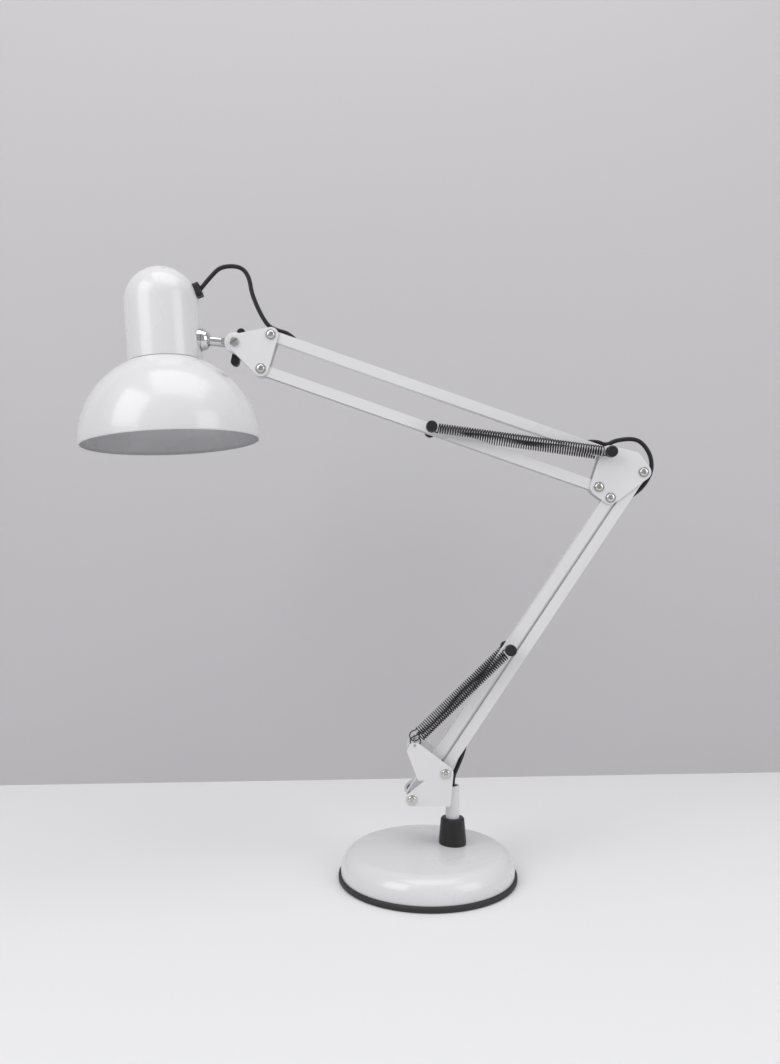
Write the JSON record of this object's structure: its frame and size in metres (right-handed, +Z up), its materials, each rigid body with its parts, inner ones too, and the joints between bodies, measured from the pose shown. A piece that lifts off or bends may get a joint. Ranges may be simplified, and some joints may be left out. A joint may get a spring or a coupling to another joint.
{
  "type": "swing arm desk lamp",
  "caption": "Swing arm desk lamp: round weighted base, two spring balanced parallel-bar arms and a bell shade on a tilting, swivelling joint.",
  "frame": {"origin": "centre of the base's underside, on the table", "axes": "+Z up, -X the way the shade reaches, -Y the side with the cross-headed screws"},
  "size_m": [0.5788, 0.1806, 0.6198],
  "materials": {
    "white_enamel": "gloss",
    "black_rubber": "matt",
    "bottom_steel": "satin",
    "cast_iron": "rough",
    "black_nylon": "satin",
    "zinc_steel": "satin",
    "bright_steel": "bright",
    "chrome": "polished",
    "white_washer": "satin",
    "black_spring_wire": "satin",
    "white_ceramic": "glazed",
    "brass": "bright",
    "black_flex": "matt"
  },
  "bodies": {
    "base": {"base_shell": "white_enamel", "base_edge_ring": "black_rubber", "base_bottom_plate": "bottom_steel", "base_pad": "black_rubber", "base_weight": "cast_iron", "cable_gland": "black_nylon", "post_socket": "black_nylon", "socket_nut": "zinc_steel", "flex_base_run": "black_flex"},
    "foot": {"post": "white_enamel", "post_retaining_ring": "zinc_steel", "foot_plate_near": "white_enamel", "foot_plate_far": "white_enamel", "foot_saddle": "white_enamel", "spring_anchor_pins": "zinc_steel", "foot_screws": "bright_steel", "foot_nuts": "zinc_steel", "foot_sleeves": "black_nylon", "flex_foot": "black_flex"},
    "lower_bar_1": {"lower_bar_1": "white_enamel", "lower_spring_pin": "zinc_steel", "lower_pin_caps": "black_nylon"},
    "lower_bar_2": {"lower_bar_2": "white_enamel", "flex_lower_run": "black_flex"},
    "elbow": {"elbow_plates": "white_enamel", "elbow_screws": "bright_steel", "elbow_nuts": "zinc_steel", "elbow_spring_pin": "zinc_steel", "elbow_pin_caps": "black_nylon", "flex_elbow_upper": "black_flex", "flex_elbow_lower": "black_flex"},
    "upper_bar_top": {"upper_bar_top": "white_enamel", "flex_upper_run": "black_flex"},
    "upper_bar_bottom": {"upper_bar_bottom": "white_enamel", "upper_spring_pin": "zinc_steel", "upper_pin_caps": "black_nylon"},
    "head_bracket": {"head_plates": "white_enamel", "head_screws": "bright_steel", "head_nuts": "zinc_steel", "tilt_bolt": "zinc_steel", "tilt_friction_discs": "white_washer", "flex_head_bend": "black_flex"},
    "wing_knob": {"wing_knob": "black_nylon"},
    "shank": {"shank": "chrome", "ball_knuckle": "chrome", "shank_nut": "chrome", "flex_head_loop_inner": "black_flex", "flex_head_loop_outer": "black_flex"},
    "head": {"shade": "white_enamel", "neck_cap": "white_enamel", "saddle_washer": "chrome", "cord_grip": "black_nylon", "lampholder_body": "white_ceramic", "lampholder_screw_shell": "brass", "lampholder_contact": "brass", "lampholder_strap": "bottom_steel"},
    "spring_lower": {"lower_spring_coils": "black_spring_wire"},
    "spring_lower_tip": {"lower_spring_hooks": "black_spring_wire"},
    "spring_upper": {"upper_spring_coils": "black_spring_wire"},
    "spring_upper_tip": {"upper_spring_hooks": "black_spring_wire"}
  },
  "joints": [
    {"name": "foot_swivel", "type": "hinge", "parent": "base", "child": "foot", "pos_m": [0.0252, 0, 0.06], "axis": [0, 0, 1], "range_deg": [-170, 170]},
    {"name": "lower_arm", "type": "hinge", "parent": "foot", "child": "lower_bar_2", "pos_m": [0.01704, 0, 0.10885], "axis": [0, -1, 0], "range_deg": [-2, 30], "deforming": ["flex_foot"]},
    {"name": "lower_bar_1_foot", "type": "hinge", "parent": "foot", "child": "lower_bar_1", "pos_m": [-0.0164, 0, 0.0831], "axis": [0, -1, 0], "range_deg": [-3, 31]},
    {"name": "elbow_level", "type": "hinge", "parent": "lower_bar_2", "child": "elbow", "pos_m": [0.21678, 0, 0.40835], "axis": [0, -1, 0], "range_deg": [-31, 3], "deforming": ["flex_elbow_lower"]},
    {"name": "upper_arm", "type": "hinge", "parent": "elbow", "child": "upper_bar_top", "pos_m": [0.18184, 0, 0.4276], "axis": [0, -1, 0], "range_deg": [-30, 20], "deforming": ["flex_elbow_upper"]},
    {"name": "upper_bar_bottom_elbow", "type": "hinge", "parent": "elbow", "child": "upper_bar_bottom", "pos_m": [0.17176, 0, 0.39336], "axis": [0, -1, 0], "range_deg": [-31, 21]},
    {"name": "head_level", "type": "hinge", "parent": "upper_bar_top", "child": "head_bracket", "pos_m": [-0.15792, 0, 0.54659], "axis": [0, -1, 0], "range_deg": [-21, 31], "deforming": ["flex_head_bend"]},
    {"name": "head_tilt", "type": "hinge", "parent": "head_bracket", "child": "shank", "pos_m": [-0.1948, 0, 0.5394], "axis": [0, -1, 0], "range_deg": [-40, 20], "deforming": ["flex_head_loop_inner"]},
    {"name": "head_swivel", "type": "hinge", "parent": "shank", "child": "head", "pos_m": [-0.1948, 0, 0.5394], "axis": [-0.9954, 0, 0.0958], "range_deg": [-20, 20], "deforming": ["flex_head_loop_outer"]},
    {"name": "wing_knob_turn", "type": "hinge", "parent": "head_bracket", "child": "wing_knob", "pos_m": [-0.1948, 0, 0.5394], "axis": [0, -1, 0], "range_deg": [-180, 180]},
    {"name": "spring_lower_turn", "type": "hinge", "parent": "foot", "child": "spring_lower", "pos_m": [-0.0135, 0, 0.1366], "axis": [0, -1, 0], "range_deg": [-3.73, 42.02], "deforming": ["lower_spring_coils"]},
    {"name": "spring_lower_stretch", "type": "slide", "parent": "spring_lower", "child": "spring_lower_tip", "axis": [0.7127, 0, 0.7015], "range_m": [-0.01369, 0.00138], "deforming": ["lower_spring_hooks"]},
    {"name": "spring_upper_turn", "type": "hinge", "parent": "elbow", "child": "spring_upper", "pos_m": [0.18184, 0, 0.4276], "axis": [0, -1, 0], "range_deg": [-30.89, 20.92], "deforming": ["upper_spring_coils"]},
    {"name": "spring_upper_stretch", "type": "slide", "parent": "spring_upper", "child": "spring_upper_tip", "axis": [-0.9906, 0, 0.1369], "range_m": [-0.01979, 0.01336], "deforming": ["upper_spring_hooks"]}
  ],
  "couplings": [
    {"joint": "lower_bar_1_foot", "follows": "lower_arm", "ratio": 1},
    {"joint": "elbow_level", "follows": "lower_arm", "ratio": -1},
    {"joint": "upper_bar_bottom_elbow", "follows": "upper_arm", "ratio": 1},
    {"joint": "head_level", "follows": "upper_arm", "ratio": -1},
    {"joint": "spring_lower_turn", "follows": "lower_arm", "ratio": 1.3672},
    {"joint": "spring_lower_stretch", "follows": "lower_arm", "m_per_rad": -0.024},
    {"joint": "spring_upper_turn", "follows": "upper_arm", "ratio": 0.9962},
    {"joint": "spring_upper_stretch", "follows": "upper_arm", "m_per_rad": 0.03509}
  ]
}
